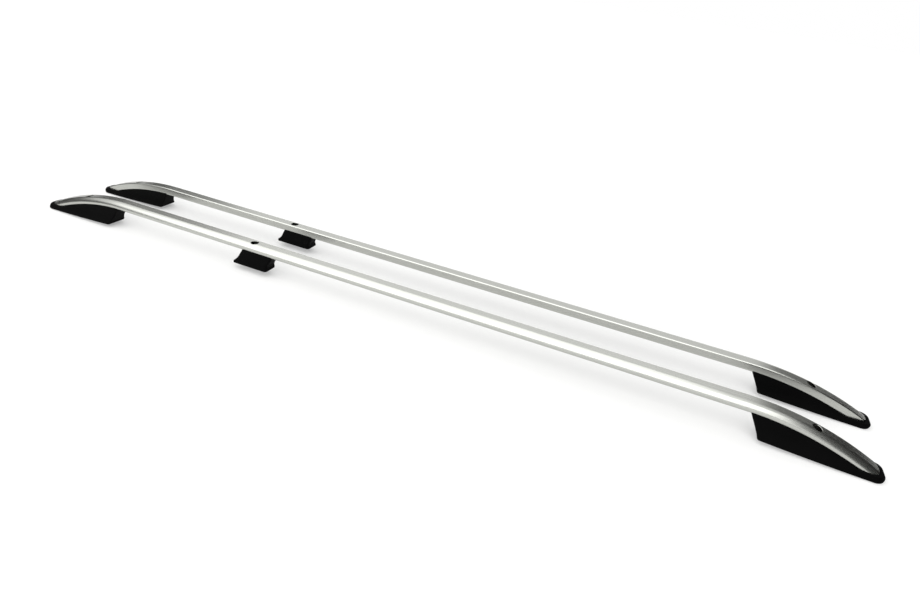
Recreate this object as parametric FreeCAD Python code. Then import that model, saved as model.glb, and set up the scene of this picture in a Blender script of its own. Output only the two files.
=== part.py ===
import FreeCAD, Part
import math
import os

from FreeCAD import Vector

# Roof side rail pair, in millimetres.
# X runs along the rails, +X towards the rear of the vehicle; +Y is the vehicle's right; +Z is up.
# Z = 0 is the floor that the foot tips rest on, under the middle of the pair's outline.
# Each rail is worked out in its own frame: x = 0 half way along, y = 0 on the tube's middle plane,
# with the outer side of the vehicle at -y. The right rail is the left one mirrored.

# The pair
rail_length = 2400.0
rail_spacing = 179.0
rail_stagger = 10.0

# Tube section, seen along the rail
tube_width = 40.0
tube_wall = 2.0
shoulder_radius = 16.5
outer_foot_radius = 6.0
inner_foot_radius = 4.0
crease_radius = 3.0

# Tube line
tube_clearance = 60.5
bend_start_from_nose = 304.0
bend_radius = 640.0
cant = 7.4
sweep_spare = 3.0
tip_cut_height = 9.0
tip_setback = 14.0
tip_corner_radius = 13.0

# Fixing points, one in each foot
fixing_offset = 3.0
end_fixing_from_nose = 153.0
middle_fixing_from_nose = 775.0
access_hole_radius = 11.0
roof_bolt_radius = 4.0
bolt_hole_clearance = 0.4
spacer_wall = 2.0

# End feet
end_foot_length = 260.0
end_foot_half_width = 31.0
end_foot_bow = 2.0
end_foot_overhang = 31.0
end_foot_lift = 10.0
nose_radius = 23.0
nose_top = 14.0
nose_rounding = 6.0
nose_rounding_share = 0.95
inner_corner_radius = 6.0
top_corner_radius = 4.0
flare_height = 26.0
hollow_start_from_nose = 74.0

# Middle feet
middle_foot_length = 114.0
middle_foot_half_width = 23.0
middle_foot_lift = 18.0
middle_rake_front = 27.0
middle_rake_rear = 15.0
middle_corner_radius = 8.0
middle_flare_height = 16.0
middle_end_flare = 6.0

# Moulding details shared by all feet
foot_wall = 3.0
lip_height = 4.0
rib_thickness = 2.4
rib_spacing = 36.0
cradle_depth = 3.0
cradle_wall = 1.0
seat_gap = 0.2

# Gaskets under the end feet
gasket_thickness = 2.0
gasket_inset = 1.5

# Self-tapping screws that hold the feet to the tube
screw_radius = 2.4
screw_grip = 8.0
screw_bite = 6.0
screw_head_radius = 4.6
screw_head_height = 2.8
screw_head_flat = 3.2
screw_clearance = 0.1
screw_boss_wall = 3.0
end_screws_from_nose = (112.0, 214.0)
middle_screw_spacing = 62.0

half_length = rail_length / 2
half_tube = tube_width / 2
tube_height = shoulder_radius + outer_foot_radius
bend_start = half_length - bend_start_from_nose
bend_sweep = math.degrees(math.asin(bend_start_from_nose / bend_radius)) + sweep_spare
end_fixing_x = half_length - end_fixing_from_nose
middle_fixing_x = middle_fixing_from_nose - half_length
bolt_hole_radius = roof_bolt_radius + bolt_hole_clearance
spacer_radius = bolt_hole_radius + spacer_wall
top_half_width = half_tube + cradle_wall
outward = math.tan(math.radians(cant))
up = Vector(0, 0, 1)
reach = 2 * tube_clearance
cut_past = 1.0


def underside(x):
    """Height of the tube's underside at a place along the rail."""
    past = max(0.0, abs(x) - bend_start)
    drop = bend_radius - math.sqrt(bend_radius ** 2 - past ** 2)
    return tube_clearance - drop * math.cos(math.radians(cant))


def side_shift(height):
    """How far a foot's middle lies to the side at a height: the bends and feet lean outwards."""
    return -outward * (tube_clearance - height)


def tube_y(x):
    """Sideways place of the tube's middle at a place along the rail."""
    return side_shift(underside(x))


def fixing_y(x):
    """Sideways place of the roof bolt at a place along the rail."""
    return tube_y(x) + fixing_offset


def ring_point(centre, radius, angle):
    """Point at an angle, in degrees from +Y towards +Z, on a circle that faces along X."""
    turn = math.radians(angle)
    return centre + Vector(0, radius * math.cos(turn), radius * math.sin(turn))


def closed_wire(corners):
    """Join rounded corners, each given as three points of an arc, by straight lines."""
    edges = []
    for index, (start, middle, end) in enumerate(corners):
        edges.append(Part.Arc(start, middle, end).toShape())
        following = corners[(index + 1) % len(corners)][0]
        if end.distanceToPoint(following) > 1e-6:
            edges.append(Part.LineSegment(end, following).toShape())
    return Part.Wire(edges)


def tube_outline(x, grow):
    """The tube's outline at x, moved outwards by grow.

    The inner side stands upright and meets the flat top at a tight crease. The outer side is one
    large round from the top down to a small radius at the underside.
    """
    z = tube_clearance
    rounds = (
        (half_tube - inner_foot_radius, z + inner_foot_radius, inner_foot_radius, -90),
        (half_tube - crease_radius, z + tube_height - crease_radius, crease_radius, 0),
        (shoulder_radius - half_tube, z + outer_foot_radius, shoulder_radius, 90),
        (outer_foot_radius - half_tube, z + outer_foot_radius, outer_foot_radius, 180),
    )
    corners = []
    for y, height, radius, start in rounds:
        centre = Vector(x, y, height)
        corners.append([ring_point(centre, radius + grow, start + turn) for turn in (0, 45, 90)])
    return closed_wire(corners)


def sweep_rail(face_at):
    """Carry a section along the whole rail: a straight run with a large bend at each end."""
    straight = face_at(-bend_start).extrude(Vector(2 * bend_start, 0, 0))
    lean = math.radians(cant)
    bends = []
    for side in (-1, 1):
        centre = Vector(side * bend_start, -bend_radius * math.sin(lean),
                        tube_clearance - bend_radius * math.cos(lean))
        axis = Vector(0, side * math.cos(lean), -side * math.sin(lean))
        bends.append(face_at(side * bend_start).revolve(centre, axis, bend_sweep))
    return straight.fuse(bends).removeSplitter()


def long_side(start, end, bow):
    """A side of a plan outline: straight, or bowed outwards by a little."""
    if bow == 0:
        return Part.LineSegment(start, end).toShape()
    return Part.Arc(start, (start + end) * 0.5 + Vector(0, bow, 0), end).toShape()


def rounded_plan(front, rear, half_width, bow, front_radius, rear_radius, z):
    """Closed plan outline with rounded corners and slightly bowed sides."""
    slant = 1 - math.sqrt(0.5)
    front_corners, rear_corners = [], []
    for side in (-1, 1):
        front_corners.append([
            Vector(front, side * (half_width - front_radius), z),
            Vector(front + front_radius * slant, side * (half_width - front_radius * slant), z),
            Vector(front + front_radius, side * half_width, z)])
        rear_corners.append([
            Vector(rear - rear_radius, side * half_width, z),
            Vector(rear - rear_radius * slant, side * (half_width - rear_radius * slant), z),
            Vector(rear, side * (half_width - rear_radius), z)])
    edges = [Part.Arc(*front_corners[0]).toShape()]
    edges.append(long_side(front_corners[0][2], rear_corners[0][0], -bow))
    edges.append(Part.Arc(*rear_corners[0]).toShape())
    edges.append(Part.LineSegment(rear_corners[0][2], rear_corners[1][2]).toShape())
    edges.append(Part.Arc(*reversed(rear_corners[1])).toShape())
    edges.append(long_side(rear_corners[1][0], front_corners[1][2], bow))
    edges.append(Part.Arc(*reversed(front_corners[1])).toShape())
    edges.append(Part.LineSegment(front_corners[1][0], front_corners[0][0]).toShape())
    return Part.Wire(edges)


def tilt_end(shape):
    """Lift the inner end of a shape built square to the front foot's base, and keep it under the tube."""
    nose = Vector(gasket_inset - half_length, 0, 0)
    shape.rotate(nose, Vector(0, -1, 0), math.degrees(math.asin(end_foot_lift / end_foot_length)))
    shape.rotate(nose, up, math.degrees(math.asin(end_foot_lift * outward / end_foot_length)))
    return shape


def end_form(inward, base):
    """Outer form of the front foot, moved inwards, standing on a level above its base.

    An upright lip runs round the base, a hollow flare rises from it to the tube's width, the nose
    is round, and the inner end leans out over the roof as it rises.
    """
    rise = tube_clearance - end_foot_lift - lip_height
    nose_climb = nose_top - lip_height
    top = tube_clearance + cradle_depth
    wires = []
    for climb in (base - lip_height, 0.0, nose_climb / 2, nose_climb, (nose_climb + flare_height) / 2,
                  flare_height, (flare_height + top) / 2, top):
        height = lip_height + climb
        climb = max(0.0, climb)
        flare = max(0.0, 1 - climb / flare_height) ** 2
        half_width = top_half_width + (end_foot_half_width - top_half_width) * flare
        into_round = min(1.0, max(0.0, height - nose_top + nose_rounding) / nose_rounding)
        setback = nose_rounding * (1 - math.sqrt(1 - (nose_rounding_share * into_round) ** 2))
        front = setback + max(0.0, height - nose_top) - half_length + inward
        rear = end_foot_length - half_length + end_foot_overhang * climb / rise - inward
        nose = tip_corner_radius + (nose_radius - tip_corner_radius) * flare
        corner = top_corner_radius + (inner_corner_radius - top_corner_radius) * flare
        wire = rounded_plan(front, rear, half_width - inward, end_foot_bow * flare,
                            nose - inward, corner - inward, height)
        wire.translate(Vector(0, side_shift(height), 0))
        wires.append(wire)
    lip = Part.makeLoft(wires[:2], True, True)
    body = Part.makeLoft(wires[1:], True, False)
    return tilt_end(lip.fuse(body))


def middle_form(inward, base):
    """Outer form of a middle foot: raked backwards, with a small hollow flare all round its base."""
    rise = tube_clearance - middle_foot_lift - lip_height
    wires = []
    for climb in (base - lip_height, 0.0, middle_flare_height / 4, middle_flare_height / 2,
                  middle_flare_height, (middle_flare_height + rise) / 2, rise + cradle_depth):
        height = lip_height + climb
        climb = max(0.0, climb)
        flare = max(0.0, 1 - climb / middle_flare_height) ** 2
        half_width = top_half_width + (middle_foot_half_width - top_half_width) * flare
        hollow_in = middle_end_flare * (1 - flare - climb / rise)
        front = middle_fixing_x - middle_foot_length / 2 + middle_rake_front * climb / rise + hollow_in
        rear = middle_fixing_x + middle_foot_length / 2 + middle_rake_rear * climb / rise - hollow_in
        radius = middle_corner_radius - inward
        wire = rounded_plan(front + inward, rear - inward, half_width - inward, 0.0, radius, radius,
                            height + middle_foot_lift)
        wire.translate(Vector(0, side_shift(height + middle_foot_lift), 0))
        wires.append(wire)
    lip = Part.makeLoft(wires[:2], True, True)
    return lip.fuse(Part.makeLoft(wires[1:], True, False))


def box(low, high):
    """Box between two opposite corners."""
    size = high - low
    return Part.makeBox(size.x, size.y, size.z, low)


def mirrored(shape, normal):
    """Mirror image of a shape in the plane through the origin with this normal."""
    return shape.mirror(Vector(0, 0, 0), normal)


def upright(x, y, radius, low, top):
    """Upright round bar."""
    return Part.makeCylinder(radius, top - low, Vector(x, y, low), up)


def one_solid(shape):
    """The main solid of a cut, cleaned of leftover seams."""
    return max(shape.removeSplitter().Solids, key=lambda solid: solid.Volume)


def room_above(offset):
    """The space above the tube's underside line, moved up by an offset, over the rail's length."""
    def face_at(x):
        low, top = tube_clearance + offset, tube_clearance + reach
        points = [Vector(x, -reach, low), Vector(x, reach, low), Vector(x, reach, top),
                  Vector(x, -reach, top), Vector(x, -reach, low)]
        return Part.Face(Part.makePolygon(points))
    return sweep_rail(face_at)


def tip_waste(side, grow):
    """What is cut off a tube's tip, to leave it level with the floor and rounded in plan."""
    end = half_length - tip_setback + grow
    radius = tip_corner_radius + grow
    start = end - radius
    level = tip_cut_height - grow
    heading = math.degrees(math.atan2(tube_y(end) - tube_y(start), end - start))
    outline = rounded_plan(-end, end, half_tube + grow, 0.0, radius, radius, level)
    outline.translate(Vector(0, tube_y(end), 0))
    outline.rotate(Vector(end, tube_y(end), 0), up, heading)
    corners = box(Vector(start, -reach, -reach), Vector(end + reach, reach, reach))
    below = box(Vector(end - reach, -reach, -reach), Vector(end, reach, level))
    waste = corners.cut(Part.Face(outline).extrude(up * reach)).fuse(below)
    return mirrored(waste, Vector(1, 0, 0)) if side < 0 else waste


def trim_tips(shape, grow):
    """Cut both tips of the tube."""
    return shape.cut([tip_waste(-1, grow), tip_waste(1, grow)])


def tube_bar(grow):
    """The tube as a full bar over its whole length, moved outwards by grow."""
    return sweep_rail(lambda x: Part.Face(tube_outline(x, grow)))


def tube_space():
    """The room that the tube takes up in the feet, with the seat gap round it."""
    return trim_tips(tube_bar(seat_gap), seat_gap)


def end_screw_places():
    """Where the front foot's screws stand along the rail."""
    return [distance - half_length for distance in end_screws_from_nose]


def middle_screw_places():
    """Where the middle foot's screws stand along the rail."""
    return [middle_fixing_x + side * middle_screw_spacing / 2 for side in (-1, 1)]


def rail_tube():
    """Hollow aluminium tube with its access holes, roof bolt holes and screw holes."""
    tube = trim_tips(tube_bar(0.0).cut(tube_bar(-tube_wall)), 0.0)
    holes = []
    for x in (-end_fixing_x, middle_fixing_x, end_fixing_x):
        core = underside(x) + tube_height / 2
        holes.append(upright(x, fixing_y(x), access_hole_radius, core, core + tube_height))
        holes.append(upright(x, fixing_y(x), bolt_hole_radius, core - tube_height, core))
    ends = end_screw_places()
    for x in ends + middle_screw_places() + [-x for x in ends]:
        core = underside(x) + tube_height / 2
        holes.append(upright(x, tube_y(x), screw_radius + screw_clearance, core - tube_height, core))
    return one_solid(tube.cut(holes))


def screw_seat(x):
    """Height of the boss face that a screw's head bears on."""
    return underside(x) - screw_grip


def hollow(space, places, fixing_x, rib_places):
    """What is taken out of a foot from below: its inside, less the ribs and the bosses."""
    ribs = [box(Vector(x - rib_thickness / 2, -reach, -reach), Vector(x + rib_thickness / 2, reach, reach))
            for x in rib_places]
    ribs.append(upright(fixing_x, fixing_y(fixing_x), spacer_radius + seat_gap + foot_wall, -reach, reach))
    ribs += [upright(x, tube_y(x), screw_radius + screw_boss_wall, screw_seat(x), reach) for x in places]
    return space.cut(ribs)


def drill(foot, places, fixing_x):
    """Bore the spacer's hole and the screws' holes, with room for their heads from below."""
    holes = [upright(fixing_x, fixing_y(fixing_x), spacer_radius + seat_gap, -reach, reach)]
    for x in places:
        seat = screw_seat(x)
        holes.append(upright(x, tube_y(x), screw_radius + screw_clearance, seat, seat + reach))
        holes.append(upright(x, tube_y(x), screw_head_radius + seat_gap, -reach, seat))
    return foot.cut(holes)


def front_foot(tube_room):
    """Long wedge foot with a nose cup round the tube's tip, hollow and ribbed underneath."""
    over = room_above(cradle_depth)
    clear = over.common(box(Vector(-rail_length, -reach, nose_top), Vector(0, reach, 2 * reach)))
    foot = end_form(0.0, gasket_thickness).cut([clear, tube_room])
    inside = end_form(foot_wall, gasket_thickness - cut_past).cut(room_above(-foot_wall))
    start = hollow_start_from_nose - half_length
    inside = inside.common(box(Vector(start, -reach, -reach), Vector(0, reach, reach)))
    count = int((end_foot_length - hollow_start_from_nose) / rib_spacing)
    ribs = [start + rib_spacing * (index + 1) for index in range(count)]
    foot = foot.cut(hollow(inside, end_screw_places(), -end_fixing_x, ribs))
    return one_solid(drill(foot, end_screw_places(), -end_fixing_x))


def middle_foot(tube_room):
    """Short raked foot under the tube, hollow and ribbed underneath."""
    foot = middle_form(0.0, 0.0).cut([room_above(cradle_depth), tube_room])
    inside = middle_form(foot_wall, -cut_past).cut(room_above(-foot_wall))
    ribs = [middle_fixing_x + side * rib_spacing / 2 for side in (-1, 1)]
    foot = foot.cut(hollow(inside, middle_screw_places(), middle_fixing_x, ribs))
    return one_solid(drill(foot, middle_screw_places(), middle_fixing_x))


def front_gasket():
    """Thin rubber pad under the front foot, with a hole for the spacer."""
    half_width = end_foot_half_width - gasket_inset
    outline = rounded_plan(gasket_inset - half_length, end_foot_length - half_length - gasket_inset,
                           half_width, end_foot_bow, nose_radius - gasket_inset,
                           inner_corner_radius - gasket_inset, 0.0)
    outline.translate(Vector(0, side_shift(gasket_thickness), 0))
    pad = tilt_end(Part.Face(outline).extrude(up * gasket_thickness))
    hole = upright(-end_fixing_x, fixing_y(-end_fixing_x), spacer_radius + seat_gap, -reach, reach)
    return one_solid(pad.cut(hole))


def spacer(x, roof):
    """Steel sleeve that carries the roof bolt's clamping force past the plastic foot."""
    sleeve = upright(x, fixing_y(x), spacer_radius, -reach, reach)
    bore = upright(x, fixing_y(x), bolt_hole_radius, -reach, reach)
    sleeve = sleeve.cut([bore, room_above(-seat_gap), roof])
    return one_solid(sleeve)


def screw(x):
    """Pan head self-tapping screw, point up, its head against the foot's boss."""
    seat = screw_seat(x)
    tip = seat + screw_grip + screw_bite
    top = seat - screw_head_height
    profile = [Vector(0, 0, top), Vector(screw_head_flat, 0, top),
               Vector(screw_head_radius, 0, (top + seat) / 2), Vector(screw_head_radius, 0, seat),
               Vector(screw_radius, 0, seat), Vector(screw_radius, 0, tip - 2 * screw_radius),
               Vector(0, 0, tip), Vector(0, 0, top)]
    turned = Part.Face(Part.makePolygon(profile)).revolve(Vector(0, 0, 0), up, 360)
    turned.translate(Vector(x, tube_y(x), 0))
    return turned


def left_rail():
    """Every piece of the left rail by name, in the rail's own frame."""
    room = tube_space()
    rear = Vector(1, 0, 0)
    roof_at_end = tilt_end(box(Vector(-half_length, -reach, -2 * reach), Vector(0, reach, 0)))
    roof_at_middle = box(Vector(-half_length, -reach, -2 * reach), Vector(0, reach, middle_foot_lift))
    end_foot, gasket = front_foot(room), front_gasket()
    end_spacer = spacer(-end_fixing_x, roof_at_end)
    end_screws = Part.makeCompound([screw(x) for x in end_screw_places()])
    return {
        "tube": rail_tube(),
        "front_foot": end_foot,
        "middle_foot": middle_foot(room),
        "rear_foot": mirrored(end_foot, rear),
        "front_foot_gasket": gasket,
        "rear_foot_gasket": mirrored(gasket, rear),
        "front_spacer": end_spacer,
        "middle_spacer": spacer(middle_fixing_x, roof_at_middle),
        "rear_spacer": mirrored(end_spacer, rear),
        "front_foot_screws": end_screws,
        "middle_foot_screws": Part.makeCompound([screw(x) for x in middle_screw_places()]),
        "rear_foot_screws": mirrored(end_screws, rear),
    }


def main():
    """Write every piece of both rails to its own STEP file."""
    os.makedirs("parts", exist_ok=True)
    for name, piece in left_rail().items():
        right = mirrored(piece, Vector(0, 1, 0))
        piece.translate(Vector(-rail_stagger / 2, -rail_spacing / 2, 0))
        right.translate(Vector(rail_stagger / 2, rail_spacing / 2, 0))
        piece.exportStep("parts/left_" + name + ".step")
        right.exportStep("parts/right_" + name + ".step")
        print(name, "solids:", len(piece.Solids), "valid:", piece.isValid(),
              "cm3:", round(piece.Volume / 1000, 2))


main()
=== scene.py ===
"""Looks of a roof side rail pair: two long aluminium rails on black moulded feet.

The two rail tubes are worked out again here as fine surfaces, because their polish shows every
facet. The feet, gaskets, spacers and screws keep their CAD form. Everything gets a procedural
material. Sizes are in millimetres until a mesh is made, and the meshes are in metres in the frame
of the CAD model.
"""

import logging
import math
from collections.abc import Callable, Iterable
from dataclasses import dataclass, field
from enum import Enum

import bpy
import numpy as np
from mathutils import Matrix


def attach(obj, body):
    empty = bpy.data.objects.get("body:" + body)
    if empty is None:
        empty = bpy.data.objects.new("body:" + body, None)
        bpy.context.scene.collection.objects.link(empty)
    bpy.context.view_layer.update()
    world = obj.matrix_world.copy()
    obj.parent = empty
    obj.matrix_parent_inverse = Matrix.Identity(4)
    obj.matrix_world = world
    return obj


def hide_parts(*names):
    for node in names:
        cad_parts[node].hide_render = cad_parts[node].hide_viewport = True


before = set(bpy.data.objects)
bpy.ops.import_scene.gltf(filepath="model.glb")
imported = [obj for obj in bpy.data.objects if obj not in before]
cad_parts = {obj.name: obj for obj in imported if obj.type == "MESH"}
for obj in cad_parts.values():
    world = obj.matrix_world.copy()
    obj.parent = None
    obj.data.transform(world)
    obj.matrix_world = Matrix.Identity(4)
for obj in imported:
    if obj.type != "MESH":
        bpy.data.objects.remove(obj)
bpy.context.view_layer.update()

MM = 0.001
IMAGE_WIDTH = 920
MERGE_DISTANCE = 1e-4
CHART = "run"
LOG = logging.getLogger("roof_side_rails")


class Side(Enum):
    """Side of the vehicle that a rail belongs to, with the sign of its place along Y."""

    LEFT = -1
    RIGHT = 1

    @property
    def prefix(self) -> str:
        """Start of the names of this side's nodes."""
        return self.name.lower() + "_"


class Wall(Enum):
    """Wall of the tube that a hole goes through."""

    TOP = "top"
    BOTTOM = "bottom"


def linear(colour: str) -> tuple[float, float, float, float]:
    """Turn an sRGB hex colour into the linear colour that shaders take.

    Args:
        colour: Hex colour such as "#B4B5AE".

    Returns:
        Linear red, green, blue and an alpha of 1.
    """
    channels = (int(colour[start:start + 2], 16) / 255 for start in (1, 3, 5))
    red, green, blue = (c / 12.92 if c <= 0.04045 else ((c + 0.055) / 1.055) ** 2.4 for c in channels)
    return red, green, blue, 1.0


def add_node(tree: bpy.types.NodeTree, kind: str, settings: dict | None = None,
             inputs: dict | None = None) -> bpy.types.Node:
    """Add a shader node with its settings, and with its inputs set or linked.

    Args:
        tree: Node tree of a material or the world.
        kind: Blender's name of the node type.
        settings: Values for the node's own properties.
        inputs: Values for the node's inputs, by name or number. An output socket is linked.

    Returns:
        The new node.
    """
    node = tree.nodes.new(kind)
    for name, value in (settings or {}).items():
        setattr(node, name, value)
    feed(tree, node, inputs or {})
    return node


def feed(tree: bpy.types.NodeTree, node: bpy.types.Node, inputs: dict) -> None:
    """Set or link a node's inputs.

    Args:
        tree: Node tree that the node is in.
        node: Node that gets the inputs.
        inputs: Values by name or number. An output socket is linked.
    """
    for name, value in inputs.items():
        if isinstance(value, bpy.types.NodeSocket):
            tree.links.new(value, node.inputs[name])
        else:
            node.inputs[name].default_value = value


@dataclass(frozen=True)
class RailLine:
    """The line that a rail follows, in its own frame: x = 0 half way, outer side at -y."""

    length: float = 2400.0
    spacing: float = 179.0
    stagger: float = 10.0
    clearance: float = 60.5
    bend_start: float = 896.0
    bend_radius: float = 640.0
    cant: float = math.radians(7.4)
    end_fixing: float = 1047.0
    middle_fixing: float = -425.0
    fixing_offset: float = 3.0

    def underside(self, x: np.ndarray) -> np.ndarray:
        """Height of the tube's underside at x.

        clearance - (R - sqrt(R^2 - past^2)) cos(cant), where past is how far x is into the bend.

        Args:
            x: Places along the rail.

        Returns:
            Heights over the floor.
        """
        past = np.maximum(0.0, np.abs(x) - self.bend_start)
        drop = self.bend_radius - np.sqrt(self.bend_radius ** 2 - past ** 2)
        return self.clearance - drop * math.cos(self.cant)

    def middle(self, x: np.ndarray) -> np.ndarray:
        """Sideways place of the tube's middle at x: -tan(cant) times how far it has come down."""
        return -math.tan(self.cant) * (self.clearance - self.underside(x))

    def carry(self, run: np.ndarray, y: np.ndarray, height: np.ndarray) -> np.ndarray:
        """Carry points of the section along the rail.

        On the straight, a point is (run, y, clearance + height). In a bend, the point is measured
        from the bend's centre, a = (y - cy) cos(cant) - (z - cz) sin(cant) along the bend's axis and
        r = (y - cy) sin(cant) + (z - cz) cos(cant) away from it, and the axis part stays while the
        other turns by (|run| - bend_start) / bend_radius towards the tip.

        Args:
            run: Distances along the underside from half way.
            y: Sideways places in the section.
            height: Heights over the underside in the section.

        Returns:
            Points, with x, y and z in the last axis.
        """
        run, y, height = np.broadcast_arrays(run, y, height)
        lean_cos, lean_sin = math.cos(self.cant), math.sin(self.cant)
        centre_y, centre_z = -self.bend_radius * lean_sin, self.clearance - self.bend_radius * lean_cos
        turn = np.maximum(0.0, np.abs(run) - self.bend_start) / self.bend_radius
        along = (y - centre_y) * lean_cos - (self.clearance + height - centre_z) * lean_sin
        away = (y - centre_y) * lean_sin + (self.clearance + height - centre_z) * lean_cos
        straight = np.clip(run, -self.bend_start, self.bend_start)
        x = straight + np.sign(run) * away * np.sin(turn)
        side = centre_y + along * lean_cos + away * np.cos(turn) * lean_sin
        level = centre_z - along * lean_sin + away * np.cos(turn) * lean_cos
        return np.stack((x, side, level), axis=-1)

    def to_row(self, points: np.ndarray, side: Side) -> np.ndarray:
        """Move points from a rail's own frame to the pair's frame.

        Args:
            points: Points of the left rail's shape, in millimetres.
            side: Rail that they are for. The right rail is the mirror image in y.

        Returns:
            Points in metres.
        """
        mirror = np.array((1.0, -float(side.value), 1.0))
        shift = np.array((side.value * self.stagger / 2, side.value * self.spacing / 2, 0.0))
        return (points * mirror + shift) * MM


@dataclass(frozen=True)
class TubeSection:
    """Outline of the tube, seen along the rail: flat top, upright inner side, round outer side."""

    half_width: float = 20.0
    wall: float = 2.0
    shoulder_radius: float = 16.5
    outer_foot_radius: float = 6.0
    inner_foot_radius: float = 4.0
    crease_radius: float = 3.0
    arc_samples: int = 600

    @property
    def height(self) -> float:
        """Height of the section."""
        return self.shoulder_radius + self.outer_foot_radius

    @property
    def marks(self) -> tuple[float, ...]:
        """Distances round the outline at which its parts end, from the inner foot over the top.

        A corner is a quarter turn of its radius long, and a flat is what its two corners leave.

        Returns:
            Ends of the inner foot, inner side, crease, flat top, shoulder and outer foot.
        """
        quarter, width = math.pi / 2, 2 * self.half_width
        lengths = (quarter * self.inner_foot_radius,
                   self.height - self.inner_foot_radius - self.crease_radius,
                   quarter * self.crease_radius,
                   width - self.crease_radius - self.shoulder_radius,
                   quarter * self.shoulder_radius,
                   quarter * self.outer_foot_radius)
        return tuple(np.cumsum(lengths).tolist())

    def middle(self, wall: Wall) -> float:
        """Distance round the outline of the middle of a wall.

        Args:
            wall: The flat top or the underside.

        Returns:
            Distance at which y is 0 on that wall.
        """
        _, _, crease, _, _, outer_foot = self.marks
        if wall is Wall.TOP:
            return crease + self.half_width - self.crease_radius
        return outer_foot + self.half_width - self.outer_foot_radius

    def corners(self) -> np.ndarray:
        """Round corners from the inner foot over the top.

        Returns:
            A row for each corner: centre y, centre height, radius and start angle.
        """
        half, crease, shoulder = self.half_width, self.crease_radius, self.shoulder_radius
        inner, outer = self.inner_foot_radius, self.outer_foot_radius
        return np.array((
            (half - inner, inner, inner, -90.0),
            (half - crease, self.height - crease, crease, 0.0),
            (shoulder - half, outer, shoulder, 90.0),
            (outer - half, outer, outer, 180.0),
        ))

    def table(self, grow: float) -> tuple[np.ndarray, np.ndarray, np.ndarray]:
        """Points round the outline against the distance round the nominal one.

        A corner's points are centre + (radius + grow) (cos, sin) over a quarter turn, and straight
        lines join the corners. The distance is measured with grow = 0, so that the outer and inner
        skins share it.

        Args:
            grow: How far the outline is moved outwards.

        Returns:
            Distances, y and height.
        """
        y, height, radius, start = (column[:, None] for column in self.corners().T)
        angle = np.radians(start + np.linspace(0.0, 90.0, self.arc_samples))
        nominal = np.stack((y + radius * np.cos(angle),
                            height + radius * np.sin(angle)), -1).reshape(-1, 2)
        moved = np.stack((y + (radius + grow) * np.cos(angle),
                          height + (radius + grow) * np.sin(angle)), -1).reshape(-1, 2)
        nominal, moved = np.vstack((nominal, nominal[:1])), np.vstack((moved, moved[:1]))
        steps = np.hypot(*np.diff(nominal, axis=0).T)
        return np.concatenate(((0.0,), np.cumsum(steps))), moved[:, 0], moved[:, 1]

    def at(self, girth: np.ndarray, grow: float) -> tuple[np.ndarray, np.ndarray]:
        """Sideways place and height at distances round the outline.

        Args:
            girth: Distances round the outline.
            grow: How far the outline is moved outwards.

        Returns:
            y and height.
        """
        distance, y, height = self.table(grow)
        return np.interp(girth, distance, y), np.interp(girth, distance, height)


@dataclass(frozen=True)
class Hole:
    """Upright round hole through one wall of the tube."""

    x: float
    y: float
    radius: float
    wall: Wall
    margin: float


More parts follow.
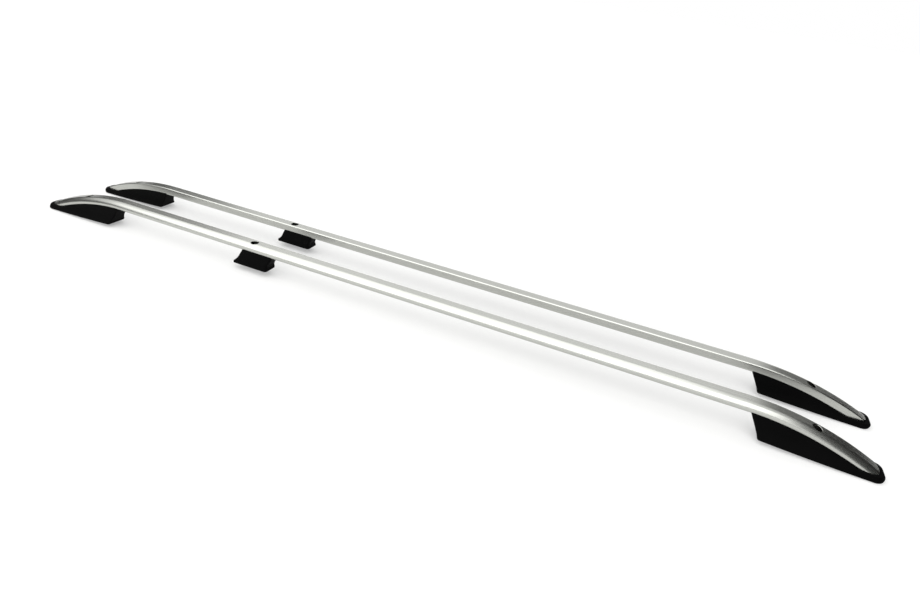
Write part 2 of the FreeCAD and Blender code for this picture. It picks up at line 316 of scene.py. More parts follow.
class MeshParts:
    """Points, faces and UV coordinates gathered for one mesh."""

    def __init__(self) -> None:
        """Start with nothing."""
        self.points: list[np.ndarray] = []
        self.charts: list[np.ndarray] = []
        self.faces: list[np.ndarray] = []
        self.count = 0

    def add(self, points: np.ndarray, chart: np.ndarray) -> np.ndarray:
        """Add a block of points.

        Args:
            points: Points, with x, y and z in the last axis.
            chart: UV coordinates in metres, in the same layout.

        Returns:
            The points' numbers, in the same layout.
        """
        layout = points.shape[:-1]
        numbers = np.arange(self.count, self.count + math.prod(layout)).reshape(layout)
        self.points.append(points.reshape(-1, 3))
        self.charts.append(np.broadcast_to(chart, layout + (2,)).reshape(-1, 2))
        self.count += numbers.size
        return numbers

    def quads(self, numbers: np.ndarray, keep: np.ndarray | None = None, flip: bool = False) -> None:
        """Join a grid of points by four-sided faces.

        Args:
            numbers: Grid of point numbers.
            keep: Which of the grid's cells get a face.
            flip: Whether the faces point the other way.
        """
        cells = np.stack((numbers[:-1, :-1], numbers[1:, :-1],
                          numbers[1:, 1:], numbers[:-1, 1:]), axis=-1)
        chosen = cells.reshape(-1, 4) if keep is None else cells[keep]
        self.faces.append(chosen[:, ::-1] if flip else chosen)

    def build(self, name: str, place: Callable[[np.ndarray], np.ndarray], flip: bool,
              sharp_angle: float) -> bpy.types.Object:
        """Make the object, with points in one place merged.

        A face with two corners in one place becomes a triangle, and one with more is left out.

        Args:
            name: Name of the object and its mesh.
            place: Function that takes the points in millimetres to metres in the pair's frame.
            flip: Whether place mirrors the shape, so that its faces have to be turned round.
            sharp_angle: Edges that turn by more than this, in degrees, are shaded sharp.

        Returns:
            The new object, linked to the scene.
        """
        points, charts = np.vstack(self.points), np.vstack(self.charts)
        keys = np.round(points / MERGE_DISTANCE).astype(np.int64)
        _, first, same = np.unique(keys, axis=0, return_index=True, return_inverse=True)
        corners = np.vstack(self.faces)
        corners = corners[:, ::-1] if flip else corners
        merged = same.reshape(-1)[corners]
        closed_edges = merged == np.roll(merged, -1, axis=1)
        whole = closed_edges.sum(axis=1) == 0
        pinched = np.flatnonzero(closed_edges.sum(axis=1) == 1)
        picks = (closed_edges[pinched].argmax(axis=1)[:, None] + np.arange(1, 4)) % 4
        triangles = merged[pinched[:, None], picks]
        faces = merged[whole].tolist() + triangles.tolist()
        uvs = np.vstack((charts[corners[whole]].reshape(-1, 2),
                         charts[corners[pinched[:, None], picks]].reshape(-1, 2)))
        mesh = bpy.data.meshes.new(name)
        mesh.from_pydata(place(points[first]).tolist(), [], faces)
        mesh.uv_layers.new(name=CHART).data.foreach_set("uv", uvs.astype(np.float32).ravel())
        mesh.polygons.foreach_set("use_smooth", np.ones(len(mesh.polygons), dtype=bool))
        mesh.set_sharp_from_angle(angle=math.radians(sharp_angle))
        mesh.validate()
        piece = bpy.data.objects.new(name, mesh)
        bpy.context.scene.collection.objects.link(piece)
        return piece


@dataclass(frozen=True)
class RailTube:
    """Extruded aluminium tube with its holes, as outer and inner skins worked out on a grid.

    A point of a skin is line.carry(run, section.at(girth, grow)): grow is 0 on the outer skin and
    minus the wall on the inner one.
    """

    side: Side
    line: RailLine = field(default_factory=RailLine)
    section: TubeSection = field(default_factory=TubeSection)
    access_radius: float = 11.0
    access_margin: float = 4.0
    bolt_radius: float = 4.4
    bolt_margin: float = 3.0
    screw_radius: float = 2.5
    screw_margin: float = 2.0
    end_screws: tuple[float, float] = (986.0, 1088.0)
    middle_screws: tuple[float, float] = (-456.0, -394.0)
    rim_chamfer: float = 0.5
    tip_setback: float = 14.0
    tip_height: float = 9.0
    tip_corner: float = 13.0
    tip_start: float = 1136.0
    tip_reach: float = 90.0
    tip_samples: int = 3601
    tip_rows: int = 26
    bend_step: float = 5.0
    straight_step: float = 60.0
    hole_step: float = 1.5
    top_window: tuple[float, float] = (27.0, 57.0)
    bottom_window: tuple[float, float] = (91.5, 107.5)
    column_counts: tuple[int, ...] = (8, 5, 8, 1, 30, 18, 12, 4, 10, 3)
    column_slack: float = 0.01
    station_grid: float = 0.5
    patch_rings: int = 6
    patch_power: float = 1.5
    newton_rounds: int = 15
    newton_step: float = 0.02
    sharp_angle: float = 35.0

    def girths(self) -> np.ndarray:
        """Distances round the section of the grid's columns, finest over the round shoulder.

        column_counts gives the number of columns from each mark or window edge to the next.

        Returns:
            Rising distances from 0 to the section's whole girth.
        """
        foot, side, crease, _, shoulder, outer_foot = self.section.marks
        total = self.section.table(0.0)[0][-1]
        ends = (0.0, foot, side, crease, *self.top_window, shoulder, outer_foot, *self.bottom_window, total)
        runs = [np.linspace(start, end, count, endpoint=False)
                for start, end, count in zip(ends[:-1], ends[1:], self.column_counts)]
        return np.concatenate(runs + [(total,)])

    def holes(self) -> list[Hole]:
        """List every hole in the tube.

        Returns:
            Access holes in the top, and bolt and screw holes in the bottom.
        """
        line = self.line
        fixings = np.array((-line.end_fixing, line.middle_fixing, line.end_fixing))
        screws = np.array([-x for x in self.end_screws] + [*self.middle_screws, *self.end_screws])
        holes = []
        for x, y in zip(fixings, line.middle(fixings) + line.fixing_offset):
            holes.append(Hole(x, y, self.access_radius, Wall.TOP, self.access_margin))
            holes.append(Hole(x, y, self.bolt_radius, Wall.BOTTOM, self.bolt_margin))
        for x, y in zip(screws, line.middle(screws)):
            holes.append(Hole(x, y, self.screw_radius, Wall.BOTTOM, self.screw_margin))
        return holes

    def skin(self, run: np.ndarray, girth: np.ndarray, grow: float) -> np.ndarray:
        """Points of a skin at distances along the rail and round the section."""
        return self.line.carry(run, *self.section.at(girth, grow))

    def locate(self, hole: Hole, x: np.ndarray, y: np.ndarray,
               grow: float) -> tuple[np.ndarray, np.ndarray]:
        """Find where upright lines pass through a skin.

        Newton's method on (run, girth) with differences over a small step: the error in plan, divided
        by the skin's own change in plan along each of the two.

        Args:
            hole: Hole that the lines belong to, which gives the wall.
            x: Places of the lines along the rail.
            y: Sideways places of the lines.
            grow: Skin, as in the section.

        Returns:
            run and girth.
        """
        line, step = self.line, self.newton_step
        past = np.maximum(0.0, np.abs(x) - line.bend_start)
        run = np.sign(x) * (np.abs(x) - past + line.bend_radius * np.arcsin(past / line.bend_radius))
        aside = y - line.middle(x)
        middle = self.section.middle(hole.wall)
        girth = middle - aside if hole.wall is Wall.TOP else middle + aside
        for _ in range(self.newton_rounds):
            here = self.skin(run, girth, grow)
            along = (self.skin(run + step, girth, grow) - here) / step
            around = (self.skin(run, girth + step, grow) - here) / step
            miss_x, miss_y = x - here[..., 0], y - here[..., 1]
            area = along[..., 0] * around[..., 1] - along[..., 1] * around[..., 0]
            run = run + (miss_x * around[..., 1] - miss_y * around[..., 0]) / area
            girth = girth + (along[..., 0] * miss_y - along[..., 1] * miss_x) / area
        return run, girth

    def window(self, hole: Hole) -> tuple[float, float, float, float]:
        """Stretch of the skin round a hole that gets a patch.

        Args:
            hole: Hole in the patch's middle.

        Returns:
            Lowest and highest run, and lowest and highest girth.
        """
        run = float(self.locate(hole, np.array([hole.x]), np.array([hole.y]), 0.0)[0][0])
        reach = hole.radius + hole.margin
        girths = self.top_window if hole.wall is Wall.TOP else self.bottom_window
        return round(run - reach), round(run + reach), *girths

    def stations(self) -> np.ndarray:
        """Distances along the rail of the grid's rows, between the two tips' own rows.

        Returns:
            Rising distances, close together round the holes, in whole steps of station_grid.
        """
        line = self.line
        bend = np.arange(line.bend_start, self.tip_start, self.bend_step)
        straight = np.arange(-line.bend_start, line.bend_start, self.straight_step)
        rows = [-bend, straight, bend, np.array((-self.tip_start, self.tip_start))]
        for hole in self.holes():
            start, end, _, _ = self.window(hole)
            rows.append(np.linspace(start, end, 1 + round((end - start) / self.hole_step)))
        return np.unique(np.round(np.concatenate(rows) / self.station_grid) * self.station_grid)

    def tip_ends(self, girth: np.ndarray, grow: float) -> np.ndarray:
        """Distance along the rail at which each lengthwise line of a skin is cut off at the tip.

        The cut is where the larger of two amounts first turns positive: how far the point is below
        the level cut, and how far it is outside the tip's plan, hypot(|v| - (w - r), u + r) - r with
        u along the tip's heading and v across it, for half width w and corner radius r. Nothing that
        comes before the corners is outside.

        Args:
            girth: Distances round the section.
            grow: Skin, as in the section.

        Returns:
            Distances along the rail.
        """
        end, radius = self.line.length / 2 - self.tip_setback, self.tip_corner
        places = self.line.middle(np.array((end - radius, end)))
        heading = math.atan2(places[1] - places[0], radius)
        run = np.linspace(self.tip_start, self.tip_start + self.tip_reach, self.tip_samples)
        points = self.skin(run[:, None], girth[None, :], grow)
        ahead, aside = points[..., 0] - end, points[..., 1] - places[1]
        u = ahead * math.cos(heading) + aside * math.sin(heading)
        v = aside * math.cos(heading) - ahead * math.sin(heading)
        inner = np.maximum(np.abs(v) - (self.section.half_width - radius), 0.0)
        outside = np.where(u > -radius, np.hypot(inner, np.maximum(u + radius, 0.0)) - radius, -1.0)
        over = np.maximum(outside, self.tip_height - points[..., 2]) > 0
        return run[over.argmax(axis=0)]

    def rows(self, girth: np.ndarray, grow: float) -> np.ndarray:
        """Distances along the rail of every grid point of a skin, the tips' slanted rows included.

        Args:
            girth: Distances round the section.
            grow: Skin, as in the section.

        Returns:
            A row of distances for each station, with a column for each girth.
        """
        middle = np.broadcast_to(self.stations()[:, None], (len(self.stations()), len(girth)))
        share = np.linspace(0.0, 1.0, self.tip_rows)[1:, None]
        tip = self.tip_start + share * (self.tip_ends(girth, grow) - self.tip_start)
        return np.vstack((-tip[::-1], middle, tip))

    def perimeter(self, rows: np.ndarray, columns: np.ndarray) -> tuple[np.ndarray, np.ndarray]:
        """Grid places round a window, in order, turning from run towards girth and back to the first.

        Args:
            rows: The window's row numbers.
            columns: The window's column numbers.

        Returns:
            Row and column of each place.
        """
        first, last, low, high = rows[0], rows[-1], columns[0], columns[-1]
        across, along = len(columns) - 1, len(rows) - 1
        row = np.concatenate((rows[:-1], np.full(across, last),
                              rows[:0:-1], np.full(across + 1, first)))
        column = np.concatenate((np.full(along, low), columns[:-1],
                                 np.full(along, high), columns[:0:-1], columns[:1]))
        return row, column

    def add_points(self, parts: MeshParts, run: np.ndarray, girth: np.ndarray,
                   grow: float) -> np.ndarray:
        """Add points of a skin, with run and girth in metres as their UV, and return their numbers."""
        chart = np.stack(np.broadcast_arrays(run, girth), axis=-1) * MM
        return parts.add(self.skin(run, girth, grow), chart)

    def rim(self, hole: Hole, turn: np.ndarray, radius: float,
            grow: float) -> tuple[np.ndarray, np.ndarray]:
        """run and girth where a round bar of a radius, upright in a hole's middle, meets a skin."""
        return self.locate(hole, hole.x + radius * np.cos(turn), hole.y + radius * np.sin(turn), grow)

    def patch(self, parts: MeshParts, hole: Hole, window: tuple[np.ndarray, np.ndarray],
              turn: np.ndarray, radius: float, grow: float) -> None:
        """Fill the window round a hole: rings that go from the hole's edge to the window's.

        A ring's (run, girth) is edge + share (window - edge). The share is (ring / rings) ^ power, so
        that the rings are closest at the hole.

        Args:
            parts: Mesh that gets the faces.
            hole: Hole to leave open.
            window: run and girth round the window.
            turn: Angles in plan of the places round the window.
            radius: Radius of the hole at this skin.
            grow: Skin, as in the section.
        """
        edge = self.rim(hole, turn, radius, grow)
        share = (np.linspace(0.0, 1.0, self.patch_rings + 1) ** self.patch_power)[:, None]
        run, girth = (inner + share * (outer - inner) for inner, outer in zip(edge, window))
        parts.quads(self.add_points(parts, run, girth, grow), flip=grow == 0)

    def open_hole(self, parts: MeshParts, hole: Hole, window: tuple[np.ndarray, np.ndarray],
                  grow: float) -> None:
        """Make a hole's edge in a skin, and with the outer skin the collar down to the inner one.

        Args:
            parts: Mesh that gets the faces.
            hole: Hole in the window's middle.
            window: run and girth round the window.
            grow: Skin, as in the section.
        """
        place = self.skin(*window, 0.0)
        turn = np.arctan2(place[:, 1] - hole.y, place[:, 0] - hole.x)
        outer = grow == 0
        radius = hole.radius + (self.rim_chamfer if outer else 0.0)
        self.patch(parts, hole, window, turn, radius, grow)
        if outer:
            edges = ((radius, 0.0), (hole.radius, -self.rim_chamfer), (hole.radius, -self.section.wall))
            collar = [self.add_points(parts, *self.rim(hole, turn, reach, depth), depth)
                      for reach, depth in edges]
            parts.quads(np.stack(collar))

    def lay_skin(self, parts: MeshParts, grow: float) -> np.ndarray:
        """Add one skin: its grid, which leaves out each hole's window, and what fills the windows.

        Args:
            parts: Mesh that gets the faces.
            grow: Skin, as in the section.

        Returns:
            Numbers of the grid's points.
        """
        girth, stations = self.girths(), self.stations()
        rows = self.rows(girth, grow)
        numbers = self.add_points(parts, rows, girth, grow)
        keep = np.ones((len(rows) - 1, len(girth) - 1), dtype=bool)
        for hole in self.holes():
            start, end, low, high = self.window(hole)
            inside = np.flatnonzero((stations >= start) & (stations <= end)) + self.tip_rows - 1
            columns = np.flatnonzero((girth >= low - self.column_slack)
                                     & (girth <= high + self.column_slack))
            keep[inside[0]:inside[-1], columns[0]:columns[-1]] = False
            row, column = self.perimeter(inside, columns)
            self.open_hole(parts, hole, (rows[row, column], girth[column]), grow)
        parts.quads(numbers, keep, flip=grow == 0)
        return numbers

    def build(self) -> bpy.types.Object:
        """Make the tube's mesh: both skins and the cut ends that join them.

        Returns:
            The tube, standing for its CAD node.
        """
        parts = MeshParts()
        outer = self.lay_skin(parts, 0.0)
        inner = self.lay_skin(parts, -self.section.wall)
        parts.quads(np.stack((outer[-1], inner[-1])), flip=True)
        parts.quads(np.stack((outer[0], inner[0])))
        name = self.side.prefix + "tube"
        piece = parts.build(name + "_skin", lambda points: self.line.to_row(points, self.side),
                            flip=self.side is Side.RIGHT, sharp_angle=self.sharp_angle)
        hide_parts(name)
        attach(piece, "root")
        LOG.info("%s: %d faces", piece.name, len(piece.data.polygons))
        return piece


def new_material(name: str) -> tuple[bpy.types.Material, bpy.types.NodeTree, bpy.types.Node]:
    """Start a material.

    Args:
        name: Name of the real material and how it was made.

    Returns:
        The material, its node tree and its Principled shader.
    """
    material = bpy.data.materials.new(name)
    material.use_nodes = True
    tree = material.node_tree
    return material, tree, tree.nodes["Principled BSDF"]


@dataclass(frozen=True)
class AnodisedAluminium:
    """Extruded aluminium, etched and anodised satin silver.

    The die leaves faint lines along the tube, and the anodic film softens every reflection. Die lines
    are noise stretched along the tube. Real ones are under 0.2 mm wide, and these are drawn 1.2 mm
    wide so that they show at all. The film's cloud has waves of 111 mm.
    """

    colour: str = "#BABBB6"
    darker: str = "#B3B4AF"
    cloud: float = 111.0
    roughness: float = 0.27
    roughness_swing: float = 0.05
    line_width: float = 1.2
    line_length: float = 900.0
    line_detail: float = 3.0
    line_roughness: float = 0.6
    line_depth: float = 0.003
    line_strength: float = 0.35

    def make(self) -> bpy.types.Material:
        """Lines drive roughness and bump, and the cloud the colour.

        Returns:
            The material.
        """
        material, tree, shader = new_material("anodised_aluminium_extruded")
        chart = add_node(tree, "ShaderNodeUVMap", {"uv_map": CHART})
        scale = (1 / (self.line_length * MM), 1 / (self.line_width * MM), 1.0)
        along = add_node(tree, "ShaderNodeMapping", inputs={"Vector": chart.outputs["UV"], "Scale": scale})
        lines = add_node(tree, "ShaderNodeTexNoise", inputs={
            "Vector": along.outputs["Vector"], "Scale": 1.0, "Detail": self.line_detail,
            "Roughness": self.line_roughness})
        cloud = add_node(tree, "ShaderNodeTexNoise", inputs={
            "Vector": chart.outputs["UV"], "Scale": 1 / (self.cloud * MM)})
        tone = add_node(tree, "ShaderNodeMix", {"data_type": "RGBA"}, {
            0: cloud.outputs["Fac"], 6: linear(self.darker), 7: linear(self.colour)})
        rough = add_node(tree, "ShaderNodeMapRange", inputs={
            "Value": lines.outputs["Fac"], "To Min": self.roughness - self.roughness_swing,
            "To Max": self.roughness + self.roughness_swing})
        bump = add_node(tree, "ShaderNodeBump", inputs={
            "Height": lines.outputs["Fac"], "Strength": self.line_strength,
            "Distance": self.line_depth * MM})
        feed(tree, shader, {
            "Metallic": 1.0, "Base Color": tone.outputs[2], "Roughness": rough.outputs["Result"],
            "Normal": bump.outputs["Normal"]})
        return material


@dataclass(frozen=True)
class MouldedPlastic:
    """Black glass-filled nylon, injection moulded in a spark-eroded tool.

    The tool leaves an even matt grain, and rounded edges still take a soft sheen. The grain is fine
    noise in Object coordinates. A real grain is about 0.3 mm, and it is drawn 0.9 mm so that it breaks
    up the sheen at the picture's scale. The slow cloud has waves of 45.5 mm.
    """

    colour: str = "#030303"
    paler: str = "#090909"
    cloud: float = 45.5
    cloud_detail: float = 3.0
    roughness: float = 0.62
    roughness_swing: float = 0.06
    sheen: float = 0.03
    grain: float = 0.9
    grain_depth: float = 0.05
    grain_strength: float = 0.5

    def make(self) -> bpy.types.Material:
        """The cloud drives colour and roughness, and the grain the bump.

        Returns:
            The material.
        """
        material, tree, shader = new_material("glass_filled_nylon_moulded")
        place = add_node(tree, "ShaderNodeTexCoord")
        cloud = add_node(tree, "ShaderNodeTexNoise", inputs={
            "Vector": place.outputs["Object"], "Scale": 1 / (self.cloud * MM), "Detail": self.cloud_detail})
        grain = add_node(tree, "ShaderNodeTexNoise", inputs={
            "Vector": place.outputs["Object"], "Scale": 1 / (self.grain * MM)})
        tone = add_node(tree, "ShaderNodeMix", {"data_type": "RGBA"}, {
            0: cloud.outputs["Fac"], 6: linear(self.colour), 7: linear(self.paler)})
        rough = add_node(tree, "ShaderNodeMapRange", inputs={
            "Value": cloud.outputs["Fac"], "To Min": self.roughness - self.roughness_swing,
            "To Max": self.roughness + self.roughness_swing})
        bump = add_node(tree, "ShaderNodeBump", inputs={
            "Height": grain.outputs["Fac"], "Strength": self.grain_strength,
            "Distance": self.grain_depth * MM})
        feed(tree, shader, {
            "Specular IOR Level": self.sheen, "Base Color": tone.outputs[2],
            "Roughness": rough.outputs["Result"], "Normal": bump.outputs["Normal"]})
        return material


@dataclass(frozen=True)
class GasketRubber:
    """Black EPDM rubber, pressed and cut from sheet: dull, with a fine dusty bloom."""

    colour: str = "#070707"
    bloom: str = "#121212"
    roughness: float = 0.8
    sheen: float = 0.1
    grain: float = 1.5
    grain_detail: float = 4.0
    grain_depth: float = 0.04
    grain_strength: float = 0.6

    def make(self) -> bpy.types.Material:
        """One noise of 1.5 mm waves drives the bloom between two blacks, and the bump.

        Returns:
            The material.
        """
        material, tree, shader = new_material("epdm_rubber_cut_sheet")
        place = add_node(tree, "ShaderNodeTexCoord")
        grain = add_node(tree, "ShaderNodeTexNoise", inputs={
            "Vector": place.outputs["Object"], "Scale": 1 / (self.grain * MM), "Detail": self.grain_detail})
        tone = add_node(tree, "ShaderNodeMix", {"data_type": "RGBA"}, {
            0: grain.outputs["Fac"], 6: linear(self.colour), 7: linear(self.bloom)})
        bump = add_node(tree, "ShaderNodeBump", inputs={
            "Height": grain.outputs["Fac"], "Strength": self.grain_strength,
            "Distance": self.grain_depth * MM})
        feed(tree, shader, {
            "Roughness": self.roughness, "Specular IOR Level": self.sheen,
            "Base Color": tone.outputs[2], "Normal": bump.outputs["Normal"]})
        return material


@dataclass(frozen=True)
class ZincPlatedSteel:
    """Turned steel, zinc plated and passivated: bluish silver with a slightly cloudy shine."""

    colour: str = "#A9AFB6"
    yellower: str = "#B5B3A6"
    roughness_range: tuple[float, float] = (0.26, 0.44)
    cloud: float = 6.0
    cloud_detail: float = 3.0
    turning: float = 0.4
    turning_depth: float = 0.02
    turning_strength: float = 0.3

    def make(self) -> bpy.types.Material:
        """The plating's 6 mm cloud drives colour and roughness, over turning marks 0.4 mm apart.

        Returns:
            The material.
        """
        material, tree, shader = new_material("zinc_plated_steel_turned")
        low, high = self.roughness_range
        place = add_node(tree, "ShaderNodeTexCoord")
        cloud = add_node(tree, "ShaderNodeTexNoise", inputs={
            "Vector": place.outputs["Object"], "Scale": 1 / (self.cloud * MM), "Detail": self.cloud_detail})
        rings = add_node(tree, "ShaderNodeMapping", inputs={
            "Vector": place.outputs["Object"], "Scale": (1.0, 1.0, 1 / (self.turning * MM))})
        marks = add_node(tree, "ShaderNodeTexNoise", inputs={
            "Vector": rings.outputs["Vector"], "Scale": 1.0})
        tone = add_node(tree, "ShaderNodeMix", {"data_type": "RGBA"}, {
            0: cloud.outputs["Fac"], 6: linear(self.colour), 7: linear(self.yellower)})
        rough = add_node(tree, "ShaderNodeMapRange", inputs={
            "Value": cloud.outputs["Fac"], "To Min": low, "To Max": high})
        bump = add_node(tree, "ShaderNodeBump", inputs={
            "Height": marks.outputs["Fac"], "Strength": self.turning_strength,
            "Distance": self.turning_depth * MM})
        feed(tree, shader, {
            "Metallic": 1.0, "Base Color": tone.outputs[2], "Roughness": rough.outputs["Result"],
            "Normal": bump.outputs["Normal"]})
        return material


@dataclass(frozen=True)
class Finishes:
    """The four materials of the rails, made once and shared."""

    aluminium: bpy.types.Material
    plastic: bpy.types.Material
    rubber: bpy.types.Material
    steel: bpy.types.Material

    @classmethod
    def make(cls) -> "Finishes":
        """Make every finish."""
        return cls(AnodisedAluminium().make(), MouldedPlastic().make(), GasketRubber().make(),
                   ZincPlatedSteel().make())


@dataclass(frozen=True)
class Rail:
    """One rail: its tube, three feet, two gaskets, three spacers and three pairs of screws."""

    side: Side
    finishes: Finishes

    def dress_node(self, name: str, material: bpy.types.Material) -> None:
        """Give a CAD node its material.

        Args:
            name: Node's name without the side.
            material: Finish for every slot of the node.
        """
        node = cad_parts[self.side.prefix + name]
        if not node.material_slots:
            node.data.materials.append(material)
        for slot in node.material_slots:
            slot.material = material
        LOG.info("%s: %s", node.name, material.name)

    def build(self) -> None:
        """Build the tube and dress every other node of the rail."""
        tube = RailTube(self.side).build()
        tube.data.materials.append(self.finishes.aluminium)
        for foot in ("front_foot", "middle_foot", "rear_foot"):
            self.dress_node(foot, self.finishes.plastic)
            self.dress_node(foot + "_screws", self.finishes.steel)
            self.dress_node(foot.replace("foot", "spacer"), self.finishes.steel)
        for foot in ("front_foot", "rear_foot"):
            self.dress_node(foot + "_gasket", self.finishes.rubber)


def placed(axes: np.ndarray, place: tuple[float, float, float]) -> Matrix:
    """World matrix of an object.

    Args:
        axes: The object's x, y and z axes, as columns.
        place: Where its origin goes.

    Returns:
        The four by four matrix.
    """
    rows = [(*row, value) for row, value in zip(axes.tolist(), place)]
    return Matrix([*rows, (0.0, 0.0, 0.0, 1.0)])


def rectangle(name: str, corners: list[tuple[float, float, float]],
              material: bpy.types.Material) -> bpy.types.Object:
    """Flat four-sided object of the studio, which is no part of the rails.

    Args:
        name: Name of the object and its mesh.
        corners: Its four corners in order.
        material: Its material.

    Returns:
        The object, linked to the scene.
    """
    mesh = bpy.data.meshes.new(name)
    mesh.from_pydata(corners, [], [(0, 1, 2, 3)])
    mesh.materials.append(material)
    piece = bpy.data.objects.new(name, mesh)
    bpy.context.scene.collection.objects.link(piece)
    return piece


@dataclass(frozen=True)
class Softbox:
    """Large plain area lamp: its middle, the point that it faces, its size and its radiance."""

    name: str
    middle: tuple[float, float, float]
    facing: tuple[float, float, float]
    size: tuple[float, float]
    radiance: float

    def build(self) -> None:
        """Power is radiance times pi times area. The lamp's long side stays level, along X."""
        lamp = bpy.data.lights.new(self.name, "AREA")
        lamp.shape = "RECTANGLE"
        lamp.size, lamp.size_y = self.size
        lamp.energy = self.radiance * math.pi * self.size[0] * self.size[1]
        holder = bpy.data.objects.new(self.name, lamp)
        back = np.array(self.middle) - np.array(self.facing)
        back /= np.linalg.norm(back)
        across = np.array((1.0, 0.0, 0.0)) - back * back[0]
        across /= np.linalg.norm(across)
        holder.matrix_world = placed(np.stack((across, np.cross(back, across), back), axis=1), self.middle)
        bpy.context.scene.collection.objects.link(holder)


@dataclass(frozen=True)
class Flag:
    """Upright dark card between two places in plan, which shows only in the metal's reflections."""

    name: str
    start: tuple[float, float]
    end: tuple[float, float]
    low: float
    high: float

    def build(self, material: bpy.types.Material) -> None:
        """Make the card, and keep it out of the view, the fill light and the shadows.

        Args:
            material: Colour of the card.
        """
        corners = [(*self.start, self.low), (*self.end, self.low),
                   (*self.end, self.high), (*self.start, self.high)]
        card = rectangle(self.name, corners, material)
        card.visible_camera = False
        card.visible_diffuse = False
        card.visible_shadow = False


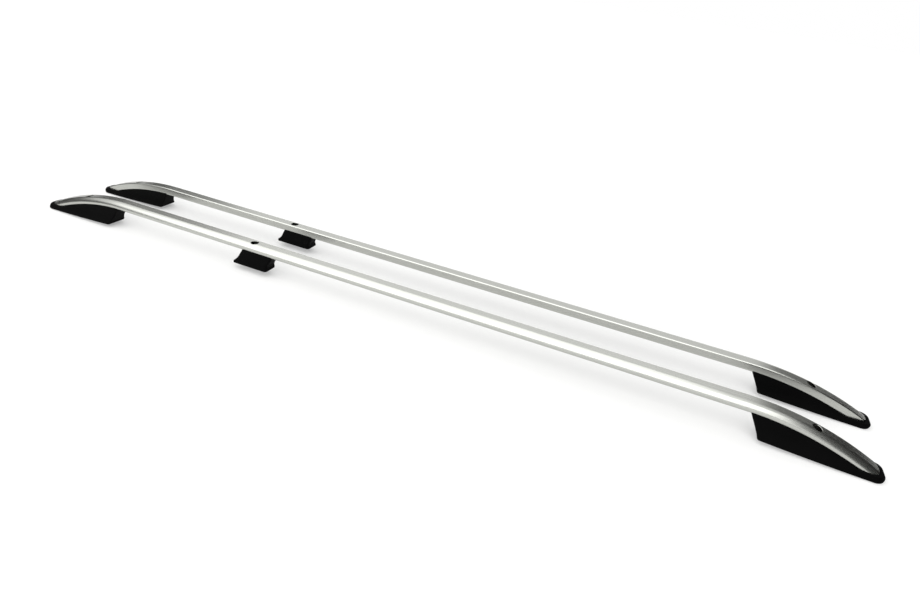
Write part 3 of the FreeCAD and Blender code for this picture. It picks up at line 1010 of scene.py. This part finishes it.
@dataclass(frozen=True)
class Studio:
    """Pale floor, white surroundings, two softboxes, dark cards and the camera."""

    floor_size: float = 60.0
    floor_level: float = -0.0003
    floor_colour: str = "#CECECD"
    white: str = "#FFFFFF"
    near_glow: float = 0.32
    far_glow: float = 1.0
    glow_start: float = 0.7
    glow_end: float = 2.7
    glow_centre: tuple[float, float] = (-0.8, -0.2)
    glow_stretch: float = 0.6
    fill: float = 0.25
    matt: float = 0.9
    black_card: str = "#1C1C1B"
    grey_card: str = "#A8A8A7"
    camera_place: tuple[float, float, float] = (0.57568, -1.27393, 0.81971)
    camera_right: tuple[float, float, float] = (0.92091, 0.3694, 0.12435)
    camera_up: tuple[float, float, float] = (-0.28973, 0.43536, 0.85236)
    focal_pixels: float = 571.0
    sensor_width: float = 36.0
    view_distance: float = 200.0

    def seen(self, tree: bpy.types.NodeTree) -> bpy.types.NodeSocket:
        """Tell looks from light.

        Args:
            tree: Node tree of a material or the world.

        Returns:
            1 where the camera, a reflection or glass looks, and 0 for light on other surfaces.
        """
        path = add_node(tree, "ShaderNodeLightPath")
        two = add_node(tree, "ShaderNodeMath", {"operation": "ADD"}, {
            0: path.outputs["Is Camera Ray"], 1: path.outputs["Is Glossy Ray"]})
        three = add_node(tree, "ShaderNodeMath", {"operation": "ADD", "use_clamp": True}, {
            0: two.outputs[0], 1: path.outputs["Is Transmission Ray"]})
        return three.outputs[0]

    def matt_colour(self, name: str, colour: str) -> tuple[bpy.types.Material, bpy.types.NodeTree]:
        """Start a matt material of one colour, for the floor or a card.

        Args:
            name: Name of the material.
            colour: Its hex colour.

        Returns:
            The material and its node tree.
        """
        material, tree, shader = new_material(name)
        feed(tree, shader, {"Base Color": linear(colour), "Roughness": self.matt})
        return material, tree

    def floor(self) -> None:
        """Plain pale floor that keeps the rails' shadow. Far off it turns as white as what is round it."""
        material, tree = self.matt_colour("painted_floor", self.floor_colour)
        place = add_node(tree, "ShaderNodeTexCoord")
        centre_x, centre_y = self.glow_centre
        flat = add_node(tree, "ShaderNodeMapping", inputs={
            "Vector": place.outputs["Object"], "Scale": (self.glow_stretch, 1.0, 1.0),
            "Location": (-centre_x * self.glow_stretch, -centre_y, 0.0)})
        distance = add_node(tree, "ShaderNodeVectorMath", {"operation": "LENGTH"}, {
            0: flat.outputs["Vector"]})
        glow = add_node(tree, "ShaderNodeMapRange", {"interpolation_type": "SMOOTHSTEP"}, {
            "Value": distance.outputs["Value"], "From Min": self.glow_start, "From Max": self.glow_end,
            "To Min": self.near_glow, "To Max": self.far_glow})
        strength = add_node(tree, "ShaderNodeMath", {"operation": "MULTIPLY"}, {
            0: glow.outputs["Result"], 1: self.seen(tree)})
        light = add_node(tree, "ShaderNodeEmission", inputs={
            "Color": linear(self.white), "Strength": strength.outputs[0]})
        both = add_node(tree, "ShaderNodeAddShader", inputs={
            0: tree.nodes["Principled BSDF"].outputs[0], 1: light.outputs[0]})
        feed(tree, tree.nodes["Material Output"], {"Surface": both.outputs[0]})
        half, level = self.floor_size / 2, self.floor_level
        rectangle("floor", [(-half, -half, level), (half, -half, level), (half, half, level),
                            (-half, half, level)], material)

    def surroundings(self) -> None:
        """White wherever it is looked at, as the floor is far off, and a weak even fill as light."""
        world = bpy.data.worlds.new("white_studio")
        world.use_nodes = True
        tree = world.node_tree
        strength = add_node(tree, "ShaderNodeMapRange", inputs={
            "Value": self.seen(tree), "To Min": self.fill, "To Max": self.far_glow})
        feed(tree, tree.nodes["Background"], {
            "Color": linear(self.white), "Strength": strength.outputs["Result"]})
        bpy.context.scene.world = world

    def camera(self) -> None:
        """Camera at the photograph's place. Its lens is focal_pixels / IMAGE_WIDTH sensor widths long."""
        lens = bpy.data.cameras.new("camera")
        lens.sensor_width = self.sensor_width
        lens.sensor_fit = "HORIZONTAL"
        lens.lens = self.focal_pixels / IMAGE_WIDTH * self.sensor_width
        lens.clip_end = self.view_distance
        camera = bpy.data.objects.new("camera", lens)
        right, up = np.array(self.camera_right), np.array(self.camera_up)
        axes = np.stack((right, up, np.cross(right, up)), axis=1)
        camera.matrix_world = placed(axes, self.camera_place)
        bpy.context.scene.collection.objects.link(camera)
        bpy.context.scene.camera = camera

    def flags(self) -> None:
        """Dark cards right and left of the picture, which darken the bends as the dark room did."""
        black, _ = self.matt_colour("black_card", self.black_card)
        grey, _ = self.matt_colour("grey_card", self.grey_card)
        Flag("flag_right", start=(2.2, -2.2), end=(2.2, 1.75), low=0.0, high=2.2).build(black)
        Flag("flag_back_right", start=(2.2, 1.75), end=(2.5, 4.7), low=0.0, high=3.0).build(grey)
        Flag("flag_left", start=(-2.6, 0.6), end=(-2.6, -2.0), low=0.0, high=0.8).build(black)
        Flag("flag_back_left", start=(-4.7, 4.6), end=(-6.4, 2.0), low=0.4, high=3.0).build(black)

    def build(self) -> None:
        """Set up the whole studio."""
        bpy.context.scene.view_settings.view_transform = "Standard"
        self.camera()
        self.floor()
        self.surroundings()
        Softbox("softbox_over", middle=(-0.95, 1.12, 2.35), facing=(-0.95, 1.12, 0.0),
                size=(4.5, 2.95), radiance=1.15).build()
        Softbox("softbox_front", middle=(-0.62, -1.67, 1.65), facing=(-0.62, -0.795, 0.0),
                size=(5.15, 3.0), radiance=1.8).build()
        self.flags()


def main() -> None:
    """Build the studio and both rails."""
    logging.basicConfig(level=logging.INFO, format="%(message)s")
    Studio().build()
    finishes = Finishes.make()
    for side in Side:
        Rail(side, finishes).build()
    bpy.context.view_layer.update()


if __name__ == "__main__":
    main()
